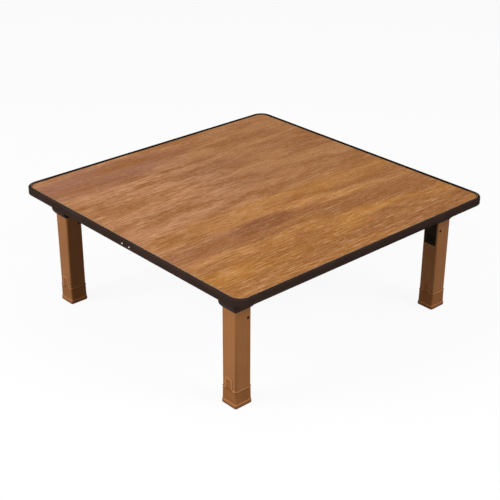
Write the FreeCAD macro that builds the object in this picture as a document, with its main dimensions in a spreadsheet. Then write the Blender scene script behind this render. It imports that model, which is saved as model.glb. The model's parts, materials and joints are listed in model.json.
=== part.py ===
import FreeCAD, Part
import math
import os
import Sketcher
from FreeCAD import Placement, Rotation, Vector

# Square folding low table: a board in a plastic edge band, on four legs that fold under it.
# X runs along the front edge, Y from front to back, Z up. The origin is on the floor, under the middle.
# All sizes are in millimetres.

os.makedirs("parts", exist_ok=True)
doc = FreeCAD.newDocument("folding_low_table")
sheet = doc.addObject("Spreadsheet::Sheet", "sizes")

# Driving dimensions, by piece

SIZES = {
    # whole table
    "table_long": 800.0,
    "table_wide": 800.0,
    "table_high": 310.0,
    "corner_round": 32.0,
    # edge band
    "band_high": 20.5,
    "band_wall": 3.0,
    "band_lip": 6.0,
    "lip_thick": 1.8,
    "band_top_round": 2.5,
    "band_low_round": 4.0,
    "barb_deep": 8.0,
    "barb_thick": 2.4,
    "seam_gap": 0.5,
    "seam_shift": 20.6,
    # board layers
    "laminate_thick": 0.8,
    "backer_thick": 0.6,
    # nails at the band's seam
    "nail_head_wide": 4.5,
    "nail_head_thick": 0.9,
    "nail_shank_wide": 1.8,
    "nail_deep": 16.0,
    "nails_apart": 25.7,
    "nail_drop": 11.5,
    # legs
    "leg_inset_x": 47.3,
    "leg_inset_y": 63.9,
    "leg_thick_x": 45.0,
    "leg_thick_y": 44.0,
    "leg_wall": 2.5,
    "leg_round": 4.0,
    "window_edge": 4.0,
    "window_tall": 64.2,
    # leg seats
    "seat_tall": 50.8,
    "seat_out_x": 8.2,
    "seat_in_x": 20.0,
    "seat_out_y": 5.0,
    "seat_in_y": 3.5,
    "seat_rim": 1.0,
    "seat_round": 2.5,
    "shoulder_high": 13.0,
    "shoulder_bend": 7.0,
    "shoulder_share": 0.75,
    "seat_play_x": 0.3,
    "seat_play_y": 0.4,
    "flange_thick": 3.0,
    "flange_reach": 8.0,
    "flange_round": 4.0,
    # seat screws
    "screw_wide": 3.5,
    "screw_long": 12.0,
    "screw_tip": 2.5,
    "screw_head_wide": 6.5,
    "screw_head_thick": 2.2,
    "screw_slot_wide": 1.0,
    "screw_slot_long": 3.8,
    "screw_slot_deep": 1.2,
    "screw_edge": 4.2,
    "screw_hole_play": 0.4,
    # hinge pin and stop pin
    "hinge_drop": 27.5,
    "hinge_wide": 6.0,
    "hinge_head_wide": 9.0,
    "hinge_head_thick": 1.5,
    "stop_path": 12.0,
    "stop_wide": 4.0,
    "stop_head_wide": 6.4,
    "stop_head_thick": 1.2,
    "pin_bite": 3.0,
    "slot_play": 0.3,
    # foot caps
    "cap_high": 43.0,
    "cap_proud": 0.4,
    "cap_swell": 0.8,
    "cap_flare": 1.8,
    "rim_high": 7.0,
    "rim_round": 4.0,
    "flare_high": 2.0,
    "bead_tall": 1.4,
    "bead_proud": 1.0,
    "cap_floor": 4.0,
    "cap_wall": 2.0,
    "plug_tall": 24.0,
    "plug_play": 0.2,
    "tab_wide": 20.0,
    "tab_tall": 26.0,
    "tab_round": 2.0,
    "tab_deep": 1.2,
    "tab_proud": 0.3,
    "tab_play": 0.2,
    # latch in each leg
    "latch_drop": 46.8,
    "latch_inset": 9.1,
    "latch_pin_wide": 5.0,
    "latch_pin_sunk": 1.6,
    "lever_recess": 1.5,
    "lever_thick": 3.0,
    "lever_side_play": 0.4,
    "lever_end_play": 0.5,
    "bend_low": 8.0,
    "bend_high": 24.0,
    "arm_thick": 2.4,
    "arm_gap": 0.6,
    "tongue_lap": 4.0,
    "tongue_deep": 3.5,
    "tongue_gap": 0.8,
    "tongue_thick": 2.3,
    "ear_reach": 4.3,
    "ear_round": 3.0,
    "ear_wide": 6.6,
    "catch_thick": 0.8,
    "hook_thick": 1.0,
    "catch_wide": 14.0,
    "catch_tall": 21.0,
    "hook_reach": 4.3,
    "catch_gap": 0.2,
    "peg_wide": 2.4,
    "peg_proud": 0.7,
    "peg_drop": 12.0,
    # return spring of each latch
    "spring_thick": 0.8,
    "spring_wide": 12.0,
    "spring_hug": 0.3,
    "spring_end_gap": 0.3,
    "spring_pad_gap": 8.0,
    "spring_wall_drop": 34.0,
    # fits
    "press_fit": 0.02,
    "running_fit": 0.05,
    "overrun": 2.0,
    "same_place": 0.001,
}

for row, (alias, number) in enumerate(SIZES.items(), start=1):
    sheet.set(f"A{row}", alias)
    sheet.set(f"B{row}", str(number))
    sheet.setAlias(f"B{row}", alias)
doc.recompute()


class Size:
    """A length that knows its number and the sheet expression that it comes from."""

    def __init__(self, number, text):
        self.number = float(number)
        self.text = text

    def __add__(self, other):
        return combined(self, "+", other, self.number + plain(other))

    def __sub__(self, other):
        return combined(self, "-", other, self.number - plain(other))

    def __mul__(self, other):
        return combined(self, "*", other, self.number * plain(other))

    def __truediv__(self, other):
        return combined(self, "/", other, self.number / plain(other))

    def __neg__(self):
        return Size(-self.number, f"(0 - {self.text})")


def plain(other):
    return other.number if isinstance(other, Size) else float(other)


def combined(left, sign, right, number):
    """A size made of two sizes, or of a size and a plain count."""
    text = right.text if isinstance(right, Size) else str(right)
    return Size(number, f"({left.text} {sign} {text})")


def named(alias):
    """The size that the sheet holds under this alias."""
    return Size(sheet.get(alias), f"sizes.{alias}")


ZERO = Size(0, "0")
WHOLE = Size(1, "1")


def bind(item, path, size):
    """Ties one property of an object to a size."""
    item.setExpression(path, size.text)


def place(item, x=ZERO, y=ZERO, z=ZERO):
    """Ties an object's position to three sizes."""
    for axis, size in zip("xyz", (x, y, z)):
        bind(item, f"Placement.Base.{axis}", size)


# Sketches

def new_body(label, x=ZERO, y=ZERO, z=ZERO):
    body = doc.addObject("PartDesign::Body", label)
    body.Label = label
    place(body, x, y, z)
    return body


def new_sketch(body, name, plane="XY_Plane", raised=ZERO):
    """A sketch on one of the body's own origin planes, raised along that plane's normal."""
    sketch = body.newObject("Sketcher::SketchObject", name)
    support = next(f for f in body.Origin.OriginFeatures if f.Role == plane)
    sketch.AttachmentSupport = [(support, "")]
    sketch.MapMode = "FlatFace"
    bind(sketch, "AttachmentOffset.Base.z", raised)
    return sketch


def hold(sketch, kind, shape, corner, size):
    """Holds one point of a sketch at a distance from the sketch's origin, to either side of it."""
    if size.number == 0:
        axis = -2 if kind == "DistanceX" else -1
        sketch.addConstraint(Sketcher.Constraint("PointOnObject", shape, corner, axis))
    elif size.number > 0:
        row = sketch.addConstraint(Sketcher.Constraint(kind, -1, 1, shape, corner, size.number))
        bind(sketch, f"Constraints[{row}]", size)
    else:
        row = sketch.addConstraint(Sketcher.Constraint(kind, shape, corner, -1, 1, -size.number))
        bind(sketch, f"Constraints[{row}]", -size)


def hold_radius(sketch, shape, size):
    row = sketch.addConstraint(Sketcher.Constraint("Radius", shape, size.number))
    bind(sketch, f"Constraints[{row}]", size)


def draw_outline(sketch, points):
    """A closed outline of straight lines through points given by sizes."""
    first = sketch.GeometryCount
    count = len(points)
    spots = [Vector(across.number, up.number, 0) for across, up in points]
    for k in range(count):
        sketch.addGeometry(Part.LineSegment(spots[k], spots[(k + 1) % count]), False)
    for k, (across, up) in enumerate(points):
        sketch.addConstraint(Sketcher.Constraint("Coincident", first + k, 2, first + (k + 1) % count, 1))
        hold(sketch, "DistanceX", first + k, 1, across)
        hold(sketch, "DistanceY", first + k, 1, up)


def draw_rectangle(sketch, left, right, low, high):
    draw_outline(sketch, [(left, low), (right, low), (right, high), (left, high)])


def draw_rounded(sketch, left, right, low, high, radius):
    """A rectangle with round corners, its sides held at four sizes from the sketch's origin."""
    first = sketch.GeometryCount
    x0, x1, y0, y1, r = left.number, right.number, low.number, high.number, radius.number
    runs = [((x0 + r, y0), (x1 - r, y0)), ((x1, y0 + r), (x1, y1 - r))]
    runs += [((x1 - r, y1), (x0 + r, y1)), ((x0, y1 - r), (x0, y0 + r))]
    for start, end in runs:
        sketch.addGeometry(Part.LineSegment(Vector(*start, 0), Vector(*end, 0)), False)
    centres = [(x1 - r, y0 + r), (x1 - r, y1 - r), (x0 + r, y1 - r), (x0 + r, y0 + r)]
    for k, centre in enumerate(centres):
        circle = Part.Circle(Vector(*centre, 0), Vector(0, 0, 1), r)
        quarter = Part.ArcOfCircle(circle, (k - 1) * math.pi / 2, k * math.pi / 2)
        sketch.addGeometry(quarter, False)
    for k in range(4):
        arc = first + 4 + k
        sketch.addConstraint(Sketcher.Constraint("Tangent", first + k, 2, arc, 1))
        sketch.addConstraint(Sketcher.Constraint("Tangent", arc, 2, first + (k + 1) % 4, 1))
        sketch.addConstraint(Sketcher.Constraint("Vertical" if k % 2 else "Horizontal", first + k))
        if k > 0:
            sketch.addConstraint(Sketcher.Constraint("Equal", arc - 1, arc))
    hold_radius(sketch, first + 4, radius)
    hold(sketch, "DistanceY", first, 1, low)
    hold(sketch, "DistanceX", first + 1, 1, right)
    hold(sketch, "DistanceY", first + 2, 1, high)
    hold(sketch, "DistanceX", first + 3, 1, left)


def draw_circle(sketch, across, up, radius):
    circle = Part.Circle(Vector(across.number, up.number, 0), Vector(0, 0, 1), radius.number)
    shape = sketch.addGeometry(circle, False)
    hold_radius(sketch, shape, radius)
    hold(sketch, "DistanceX", shape, 3, across)
    hold(sketch, "DistanceY", shape, 3, up)


# Features

def add_pad(body, sketch, length, both_ways=False, backwards=False):
    pad = body.newObject("PartDesign::Pad", sketch.Name + "_pad")
    pad.Profile = sketch
    bind(pad, "Length", length)
    pad.Midplane = both_ways
    pad.Reversed = backwards
    doc.recompute()
    return pad


def add_pocket(body, sketch, length, both_ways=False, forwards=False):
    """A pocket against the sketch's normal, or along it if forwards. It has to take material away."""
    before = body.Shape.Volume
    pocket = body.newObject("PartDesign::Pocket", sketch.Name + "_pocket")
    pocket.Profile = sketch
    bind(pocket, "Length", length)
    pocket.Midplane = both_ways
    pocket.Reversed = forwards
    doc.recompute()
    if not body.Shape.Volume < before:
        raise RuntimeError(f"{pocket.Name} cuts nothing")
    return pocket


def add_loft(body, low_sketch, high_sketch):
    """A straight-sided loft between two outlines."""
    loft = body.newObject("PartDesign::AdditiveLoft", high_sketch.Name + "_loft")
    loft.Profile = low_sketch
    loft.Sections = [high_sketch]
    loft.Ruled = True
    doc.recompute()
    return loft


def add_fillet(body, name, radius, wanted):
    """Rounds the edges of the body's last feature for which wanted(edge) is true."""
    base = body.Tip
    names = [f"Edge{k}" for k, edge in enumerate(base.Shape.Edges, start=1) if wanted(edge)]
    fillet = body.newObject("PartDesign::Fillet", name)
    fillet.Base = (base, names)
    bind(fillet, "Radius", radius)
    doc.recompute()
    return fillet


def is_level(edge, *heights):
    """True for an edge that lies at one of these heights."""
    box = edge.BoundBox
    near = SIZES["same_place"]
    gaps = [max(abs(box.ZMin - spot.number), abs(box.ZMax - spot.number)) for spot in heights]
    return min(gaps) < near


# Primitives and booleans

def new_cylinder(label, radius, length, x, y, z, axis=Vector(0, 1, 0)):
    """A round bar that starts at a place and runs along an axis."""
    bar = doc.addObject("Part::Cylinder", label)
    bar.Label = label
    bind(bar, "Radius", radius)
    bind(bar, "Height", length)
    bar.Placement = Placement(Vector(0, 0, 0), Rotation(Vector(0, 0, 1), axis))
    place(bar, x, y, z)
    return bar


def new_box(label, size_x, size_y, size_z, x, y, z):
    box = doc.addObject("Part::Box", label)
    box.Label = label
    for path, size in (("Length", size_x), ("Width", size_y), ("Height", size_z)):
        bind(box, path, size)
    place(box, x, y, z)
    return box


def fused(label, pieces):
    joined = doc.addObject("Part::MultiFuse", label)
    joined.Label = label
    joined.Shapes = pieces
    return joined


def cut(label, base, tool):
    rest = doc.addObject("Part::Cut", label)
    rest.Label = label
    rest.Base = base
    rest.Tool = tool
    return rest


def grouped(label, pieces):
    """Identical fasteners in one sub-part, each its own solid."""
    group = doc.addObject("Part::Compound", label)
    group.Label = label
    group.Links = pieces
    return group


# Places worked out from the driving dimensions

half_long = named("table_long") / 2
half_wide = named("table_wide") / 2
band_base = named("table_high") - named("band_high")
board_base = band_base + named("lip_thick")
board_top = named("table_high") - named("lip_thick")
core_base = board_base + named("backer_thick")
core_top = board_top - named("laminate_thick")
barb_base = (core_base + core_top - named("barb_thick")) / 2
barb_inset = named("band_wall") + named("barb_deep")
nail_high = named("table_high") - named("nail_drop")
nail_side = named("nails_apart") / 2
nail_places = [-named("seam_shift") - nail_side, nail_side - named("seam_shift")]

leg_x = named("leg_thick_x") / 2
leg_y = named("leg_thick_y") / 2
leg_centre_x = half_long - named("leg_inset_x") - leg_x
leg_centre_y = half_wide - named("leg_inset_y") - leg_y
hinge_high = board_base - named("hinge_drop")
seat_ceiling = board_base - named("flange_thick")
latch_high = hinge_high - named("latch_drop")
latch_across = leg_x - named("latch_inset")
seat_low = board_base - named("seat_tall")
window_low = seat_low - named("window_tall")
window_half = leg_y - named("window_edge")

# Sides of a seat's block and of its flange, from the middle of its leg, and its four screws

block_left = -(leg_x + named("seat_out_x"))
block_right = leg_x + named("seat_in_x")
block_low = -(leg_y + named("seat_out_y"))
block_high = leg_y + named("seat_in_y")
flange_left = block_left - named("flange_reach")
flange_right = block_right + named("flange_reach")
flange_low = block_low - named("flange_reach")
flange_high = block_high + named("flange_reach")
screw_spots = [
    (flange_left + named("screw_edge"), flange_low + named("screw_edge")),
    (flange_right - named("screw_edge"), flange_low + named("screw_edge")),
    (flange_left + named("screw_edge"), flange_high - named("screw_edge")),
    (flange_right - named("screw_edge"), flange_high - named("screw_edge")),
]


# Board: a core with a groove round its edge, between two laminates

def draw_table_outline(sketch, inset):
    """The table's own outline, set in from its edge."""
    across = half_long - inset
    up = half_wide - inset
    draw_rounded(sketch, -across, across, -up, up, named("corner_round") - inset)


def add_slab(body, name, base, thick, inset):
    sketch = new_sketch(body, name, raised=base)
    draw_table_outline(sketch, inset)
    return add_pad(body, sketch, thick)


def cut_pilot_holes(body, name, base, depth):
    """The holes that the sixteen seat screws bite into."""
    sketch = new_sketch(body, name, raised=base)
    for side_x in (-1, 1):
        for side_y in (-1, 1):
            for x, y in screw_spots:
                radius = named("screw_wide") / 2 + named("press_fit")
                draw_circle(sketch, (leg_centre_x - x) * side_x, (leg_centre_y - y) * side_y, radius)
    return add_pocket(body, sketch, depth, forwards=True)


def cut_nail_holes(body, name):
    """Two holes for the seam nails, drilled in from the table's left edge."""
    sketch = new_sketch(body, name, "YZ_Plane", -half_long - named("overrun"))
    for y in nail_places:
        draw_circle(sketch, y, nail_high, named("nail_shank_wide") / 2 + named("press_fit"))
    return add_pocket(body, sketch, named("overrun") + named("nail_deep"), forwards=True)


def build_core():
    body = new_body("core_board")
    over_groove = barb_base + named("barb_thick")
    add_slab(body, "core_under_groove", core_base, barb_base - core_base, named("band_wall"))
    add_slab(body, "core_at_groove", barb_base, named("barb_thick"), barb_inset)
    add_slab(body, "core_over_groove", over_groove, core_top - over_groove, named("band_wall"))
    bite = named("screw_long") - named("flange_thick") - named("backer_thick")
    cut_pilot_holes(body, "core_pilot_holes", core_base, bite)
    cut_nail_holes(body, "core_nail_holes")
    return body


def build_top_laminate():
    body = new_body("top_laminate")
    add_slab(body, "top_sheet", core_top, named("laminate_thick"), named("band_wall"))
    return body


def build_under_laminate():
    body = new_body("under_laminate")
    add_slab(body, "under_sheet", board_base, named("backer_thick"), named("band_wall"))
    cut_pilot_holes(body, "under_sheet_holes", board_base, named("backer_thick"))
    return body


# Edge band: a C section with a lip over and under the board, and a barb in its groove

def build_band():
    body = new_body("edge_band")
    add_slab(body, "band_outside", band_base, named("band_high"), ZERO)
    add_fillet(body, "band_round_top", named("band_top_round"),
               lambda edge: is_level(edge, named("table_high")))
    add_fillet(body, "band_round_base", named("band_low_round"),
               lambda edge: is_level(edge, band_base))
    between_lips = new_sketch(body, "band_between_lips", raised=band_base)
    draw_table_outline(between_lips, named("band_lip"))
    add_pocket(body, between_lips, named("band_high"), forwards=True)
    board_space = new_sketch(body, "band_board_space", raised=board_base)
    draw_table_outline(board_space, named("band_wall"))
    add_pocket(body, board_space, board_top - board_base, forwards=True)
    barb = new_sketch(body, "band_barb", raised=barb_base)
    draw_table_outline(barb, named("band_wall"))
    draw_table_outline(barb, barb_inset)
    add_pad(body, barb, named("barb_thick"))
    cut_nail_holes(body, "band_nail_holes")
    seam = new_sketch(body, "band_seam", raised=band_base)
    middle = -named("seam_shift")
    draw_rectangle(seam, -half_long - named("overrun"), -half_long + barb_inset + named("overrun"),
                   middle - named("seam_gap") / 2, middle + named("seam_gap") / 2)
    add_pocket(body, seam, named("band_high"), forwards=True)
    return body


def turn_profile(body, sketch):
    """A full turn of a sketch about its own horizontal axis."""
    turn = body.newObject("PartDesign::Revolution", sketch.Name + "_turned")
    turn.Profile = sketch
    turn.ReferenceAxis = (sketch, ["H_Axis"])
    turn.Angle = 360
    doc.recompute()
    return turn


def build_nails():
    """Round-headed nails that hold the band's two ends to the core."""
    nails = []
    shank = named("nail_shank_wide") / 2
    head = named("nail_head_wide") / 2
    crown = -named("nail_head_thick")
    for k, y in enumerate(nail_places, start=1):
        body = new_body(f"nail_{k}", -half_long, y, nail_high)
        sketch = new_sketch(body, f"nail_{k}_profile")
        draw_outline(sketch, [
            (crown, ZERO),
            (named("nail_deep"), ZERO),
            (named("nail_deep") - named("nail_shank_wide"), shank),
            (ZERO, shank),
            (ZERO, head),
            (crown / 2, head),
            (crown, head / 2),
        ])
        turn_profile(body, sketch)
        nails.append(body)
    return grouped("edge_nails", nails)


# Leg seat: a plastic housing under the board that the leg's top turns in

def draw_seat_outline(sketch, share):
    """The seat's outline, a share of the way out from its mouth to its block."""
    rim_x = leg_x + named("seat_rim")
    rim_y = leg_y + named("seat_rim")
    left = (block_left + rim_x) * share - rim_x
    right = (block_right - rim_x) * share + rim_x
    low = (block_low + rim_y) * share - rim_y
    high = (block_high - rim_y) * share + rim_y
    draw_rounded(sketch, left, right, low, high, named("seat_round"))


def add_seat_slope(body, low_name, low, low_share, high_name, high, high_share):
    low_sketch = new_sketch(body, low_name, raised=low)
    draw_seat_outline(low_sketch, low_share)
    high_sketch = new_sketch(body, high_name, raised=high)
    draw_seat_outline(high_sketch, high_share)
    add_loft(body, low_sketch, high_sketch)


def build_seat():
    body = new_body("leg_seat", -leg_centre_x, -leg_centre_y)
    bend = seat_low + named("shoulder_bend")
    shoulder_top = seat_low + named("shoulder_high")
    add_seat_slope(body, "seat_mouth", seat_low, ZERO, "seat_below_bend", bend, named("shoulder_share"))
    add_seat_slope(body, "seat_bend", bend, named("shoulder_share"), "seat_shoulder", shoulder_top, WHOLE)
    block = new_sketch(body, "seat_block", raised=shoulder_top)
    draw_rounded(block, block_left, block_right, block_low, block_high, named("seat_round"))
    add_pad(body, block, board_base - shoulder_top)
    flange = new_sketch(body, "seat_flange", raised=seat_ceiling)
    draw_rounded(flange, flange_left, flange_right, flange_low, flange_high, named("flange_round"))
    add_pad(body, flange, named("flange_thick"))
    pocket = new_sketch(body, "seat_pocket", raised=seat_low)
    play_y = leg_y + named("seat_play_y")
    draw_rectangle(pocket, -(leg_x + named("seat_play_x")), block_right + named("overrun"), -play_y, play_y)
    add_pocket(body, pocket, seat_ceiling - seat_low, forwards=True)
    holes = new_sketch(body, "seat_screw_holes", raised=seat_ceiling)
    for x, y in screw_spots:
        draw_circle(holes, x, y, (named("screw_wide") + named("screw_hole_play")) / 2)
    add_pocket(body, holes, named("flange_thick"), forwards=True)
    bores = new_sketch(body, "seat_pin_bores", "XZ_Plane", -block_high)
    draw_circle(bores, ZERO, hinge_high, named("hinge_wide") / 2 + named("press_fit"))
    draw_circle(bores, named("stop_path"), hinge_high, named("stop_wide") / 2 + named("press_fit"))
    add_pocket(body, bores, block_high + play_y + named("pin_bite"), forwards=True)
    return body


def build_screw(name, spot):
    """A round-headed wood screw, head down, that holds the flange to the board."""
    x, y = spot
    body = new_body(name, x - leg_centre_x, y - leg_centre_y, seat_ceiling)
    body.Placement = Placement(Vector(0, 0, 0), Rotation(Vector(0, 1, 0), -90))
    place(body, x - leg_centre_x, y - leg_centre_y, seat_ceiling)
    shank = named("screw_wide") / 2
    head = named("screw_head_wide") / 2
    crown = -named("screw_head_thick")
    sketch = new_sketch(body, name + "_profile")
    draw_outline(sketch, [
        (crown, ZERO),
        (named("screw_long"), ZERO),
        (named("screw_long") - named("screw_tip"), shank),
        (ZERO, shank),
        (ZERO, head),
        (crown / 2, head),
        (crown, head / 2),
    ])
    turn_profile(body, sketch)
    slot_long = named("screw_slot_long") / 2
    slot_half = named("screw_slot_wide") / 2
    cross = new_sketch(body, name + "_cross", "YZ_Plane", crown)
    draw_outline(cross, [
        (-slot_long, -slot_half),
        (-slot_half, -slot_half),
        (-slot_half, -slot_long),
        (slot_half, -slot_long),
        (slot_half, -slot_half),
        (slot_long, -slot_half),
        (slot_long, slot_half),
        (slot_half, slot_half),
        (slot_half, slot_long),
        (-slot_half, slot_long),
        (-slot_half, slot_half),
        (-slot_long, slot_half),
    ])
    add_pocket(body, cross, named("screw_slot_deep"), forwards=True)
    return body


def build_screws():
    screws = [build_screw(f"screw_{k}", spot) for k, spot in enumerate(screw_spots, start=1)]
    return grouped("seat_screws", screws)


def build_pin(label, across, wide, head_wide, head_thick):
    """A pin across the seat, pushed in from the side that faces the table's middle."""
    seat_face = block_high - leg_centre_y
    shank_long = block_high + leg_y + named("seat_play_y") + named("pin_bite")
    towards_edge = Vector(0, -1, 0)
    x = across - leg_centre_x
    head = new_cylinder(label + "_head", named(head_wide) / 2, named(head_thick),
                        x, seat_face + named(head_thick), hinge_high, towards_edge)
    shank = new_cylinder(label + "_shank", named(wide) / 2, shank_long,
                         x, seat_face, hinge_high, towards_edge)
    return fused(label, [head, shank])


# Leg: a square tube with a round top that turns on the hinge pin

def draw_stop_slot(sketch):
    """A quarter ring below and inside the hinge, that the stop pin runs along."""
    path = named("stop_path")
    half = named("stop_wide") / 2 + named("slot_play")
    centre = Vector(0, hinge_high.number, 0)
    up_z = Vector(0, 0, 1)
    first = sketch.GeometryCount
    quarter = math.pi / 2
    outer = Part.Circle(centre, up_z, (path + half).number)
    inner = Part.Circle(centre, up_z, (path - half).number)
    low_end = Part.Circle(centre + Vector(0, -path.number, 0), up_z, half.number)
    side_end = Part.Circle(centre + Vector(path.number, 0, 0), up_z, half.number)
    sketch.addGeometry(Part.ArcOfCircle(outer, -quarter, 0), False)
    sketch.addGeometry(Part.ArcOfCircle(side_end, 0, 2 * quarter), False)
    sketch.addGeometry(Part.ArcOfCircle(inner, -quarter, 0), False)
    sketch.addGeometry(Part.ArcOfCircle(low_end, quarter, 3 * quarter), False)
    joints = [(0, 2, 1, 1), (1, 2, 2, 2), (2, 1, 3, 1), (3, 2, 0, 1)]
    for a, a_end, b, b_end in joints:
        sketch.addConstraint(Sketcher.Constraint("Coincident", first + a, a_end, first + b, b_end))
    for shape in (first, first + 2):
        hold(sketch, "DistanceX", shape, 3, ZERO)
        hold(sketch, "DistanceY", shape, 3, hinge_high)
        hold(sketch, "DistanceX", shape, 1, ZERO)
        hold(sketch, "DistanceY", shape, 2, hinge_high)
    hold_radius(sketch, first, path + half)
    hold_radius(sketch, first + 2, path - half)
    hold(sketch, "DistanceY", first + 1, 3, hinge_high)
    hold(sketch, "DistanceX", first + 3, 3, ZERO)


def draw_above_round(sketch, radius, top):
    """All that stands above a half round on the hinge, for cutting the leg's top to it."""
    first = sketch.GeometryCount
    centre = Vector(0, hinge_high.number, 0)
    r, peak = radius.number, top.number
    side = r + named("overrun").number
    level = centre.y
    sketch.addGeometry(Part.ArcOfCircle(Part.Circle(centre, Vector(0, 0, 1), r), 0, math.pi), False)
    spots = [(-r, level), (-side, level), (-side, peak), (side, peak), (side, level), (r, level)]
    for start, end in zip(spots, spots[1:]):
        sketch.addGeometry(Part.LineSegment(Vector(*start, 0), Vector(*end, 0)), False)
    sketch.addConstraint(Sketcher.Constraint("Coincident", first, 2, first + 1, 1))
    for k in range(1, 5):
        sketch.addConstraint(Sketcher.Constraint("Coincident", first + k, 2, first + k + 1, 1))
    sketch.addConstraint(Sketcher.Constraint("Coincident", first + 5, 2, first, 1))
    hold(sketch, "DistanceX", first, 3, ZERO)
    hold(sketch, "DistanceY", first, 3, hinge_high)
    hold_radius(sketch, first, radius)
    edge = radius + named("overrun")
    for line in range(1, 6):
        sketch.addConstraint(Sketcher.Constraint("Horizontal" if line % 2 else "Vertical", first + line))
    hold(sketch, "DistanceX", first + 2, 1, -edge)
    hold(sketch, "DistanceX", first + 4, 1, edge)
    hold(sketch, "DistanceY", first + 3, 1, top)
    hold(sketch, "DistanceY", first + 1, 1, hinge_high)
    hold(sketch, "DistanceY", first + 5, 1, hinge_high)


# The two faces of a leg that carry a tab
TAB_SIDES = [("left_tab", -1), ("right_tab", 1)]


def build_leg():
    body = new_body("leg_tube", -leg_centre_x, -leg_centre_y)
    foot_seam = named("cap_high")
    leg_top = hinge_high + leg_x
    outside = new_sketch(body, "leg_outside", raised=foot_seam)
    draw_rounded(outside, -leg_x, leg_x, -leg_y, leg_y, named("leg_round"))
    add_pad(body, outside, leg_top - foot_seam)
    above = new_sketch(body, "leg_round_top", "XZ_Plane")
    draw_above_round(above, leg_x, leg_top + named("overrun"))
    add_pocket(body, above, named("leg_thick_y") + named("overrun"), both_ways=True)
    hollow = new_sketch(body, "leg_hollow", raised=foot_seam)
    in_x = leg_x - named("leg_wall")
    in_y = leg_y - named("leg_wall")
    draw_rounded(hollow, -in_x, in_x, -in_y, in_y, named("leg_round") - named("leg_wall"))
    add_pocket(body, hollow, hinge_high - foot_seam, forwards=True)
    hollow_top = new_sketch(body, "leg_hollow_top", "XZ_Plane")
    draw_circle(hollow_top, ZERO, hinge_high, in_x)
    add_pocket(body, hollow_top, in_y * 2, both_ways=True)
    window = new_sketch(body, "leg_window", "YZ_Plane", in_x - named("overrun"))
    draw_rectangle(window, -window_half, window_half, window_low, leg_top + named("overrun"))
    add_pocket(body, window, named("leg_wall") + named("overrun") * 2, forwards=True)
    mouth = new_sketch(body, "leg_top_opening", "YZ_Plane")
    draw_rectangle(mouth, -window_half, window_half, hinge_high, leg_top + named("overrun"))
    add_pocket(body, mouth, leg_x, forwards=True)
    bores = new_sketch(body, "leg_pin_bores", "XZ_Plane")
    draw_circle(bores, ZERO, hinge_high, named("hinge_wide") / 2 + named("running_fit"))
    draw_circle(bores, latch_across, latch_high, named("latch_pin_wide") / 2 + named("press_fit"))
    add_pocket(body, bores, named("leg_thick_y") + named("overrun"), both_ways=True)
    slot = new_sketch(body, "leg_stop_slot", "XZ_Plane")
    draw_stop_slot(slot)
    add_pocket(body, slot, named("leg_thick_y") + named("overrun"), both_ways=True)
    tab_half = named("tab_wide") / 2 + named("tab_play")
    tab_top = foot_seam + named("tab_tall") + named("tab_play")
    recess_round = named("tab_round") + named("tab_play")
    recess_base = foot_seam - recess_round - named("overrun")
    for name, side in TAB_SIDES:
        recess = new_sketch(body, name + "_recess", "YZ_Plane", leg_x * side)
        draw_rounded(recess, -tab_half, tab_half, recess_base, tab_top, recess_round)
        add_pocket(body, recess, named("tab_deep"), forwards=side < 0)
    return body


# Foot cap: a cup that plugs into the leg, with a flared rim and a tab up each side face

def draw_cap_outline(sketch, proud, radius):
    across = leg_x + proud
    up = leg_y + proud
    draw_rounded(sketch, -across, across, -up, up, radius)


def build_cap():
    body = new_body("foot_cap", -leg_centre_x, -leg_centre_y)
    flare_top = named("rim_high") + named("flare_high")
    bead_base = named("cap_high") - named("bead_tall")
    rim = new_sketch(body, "cap_rim")
    draw_cap_outline(rim, named("cap_flare"), named("rim_round"))
    add_pad(body, rim, named("rim_high"))
    flare_low = new_sketch(body, "cap_flare_low", raised=named("rim_high"))
    draw_cap_outline(flare_low, named("cap_flare"), named("rim_round"))
    flare_high = new_sketch(body, "cap_flare_high", raised=flare_top)
    draw_cap_outline(flare_high, named("cap_swell"), named("leg_round"))
    add_loft(body, flare_low, flare_high)
    cuff_low = new_sketch(body, "cap_cuff_low", raised=flare_top)
    draw_cap_outline(cuff_low, named("cap_swell"), named("leg_round"))
    cuff_high = new_sketch(body, "cap_cuff_high", raised=named("cap_high"))
    draw_cap_outline(cuff_high, named("cap_proud"), named("leg_round"))
    add_loft(body, cuff_low, cuff_high)
    bead = new_sketch(body, "cap_bead", raised=bead_base)
    draw_cap_outline(bead, named("bead_proud"), named("leg_round"))
    add_pad(body, bead, named("bead_tall"))
    plug = new_sketch(body, "cap_plug", raised=named("cap_high"))
    plug_x = leg_x - named("leg_wall") - named("plug_play")
    plug_y = leg_y - named("leg_wall") - named("plug_play")
    plug_round = named("leg_round") - named("leg_wall") - named("plug_play")
    draw_rounded(plug, -plug_x, plug_x, -plug_y, plug_y, plug_round)
    add_pad(body, plug, named("plug_tall"))
    hollow = new_sketch(body, "cap_hollow", raised=named("cap_floor"))
    in_x = plug_x - named("cap_wall")
    in_y = plug_y - named("cap_wall")
    draw_rectangle(hollow, -in_x, in_x, -in_y, in_y)
    add_pocket(body, hollow, named("cap_high") + named("plug_tall") - named("cap_floor"), forwards=True)
    tab_half = named("tab_wide") / 2
    tab_top = named("cap_high") + named("tab_tall")
    tab_base = named("cap_high") - named("tab_round")
    for name, side in TAB_SIDES:
        tab = new_sketch(body, name, "YZ_Plane", (leg_x - named("tab_deep")) * side)
        draw_rounded(tab, -tab_half, tab_half, tab_base, tab_top, named("tab_round"))
        add_pad(body, tab, named("tab_deep") + named("tab_proud"), backwards=side < 0)
    return body


# Latch: a push lever in the leg's window, that carries a steel catch under the stop pin

def build_latch_pin():
    long = named("leg_thick_y") - named("latch_pin_sunk") * 2
    return new_cylinder("latch_pin", named("latch_pin_wide") / 2, long, latch_across - leg_centre_x,
                        -(leg_centre_y + long / 2), latch_high)


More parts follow.
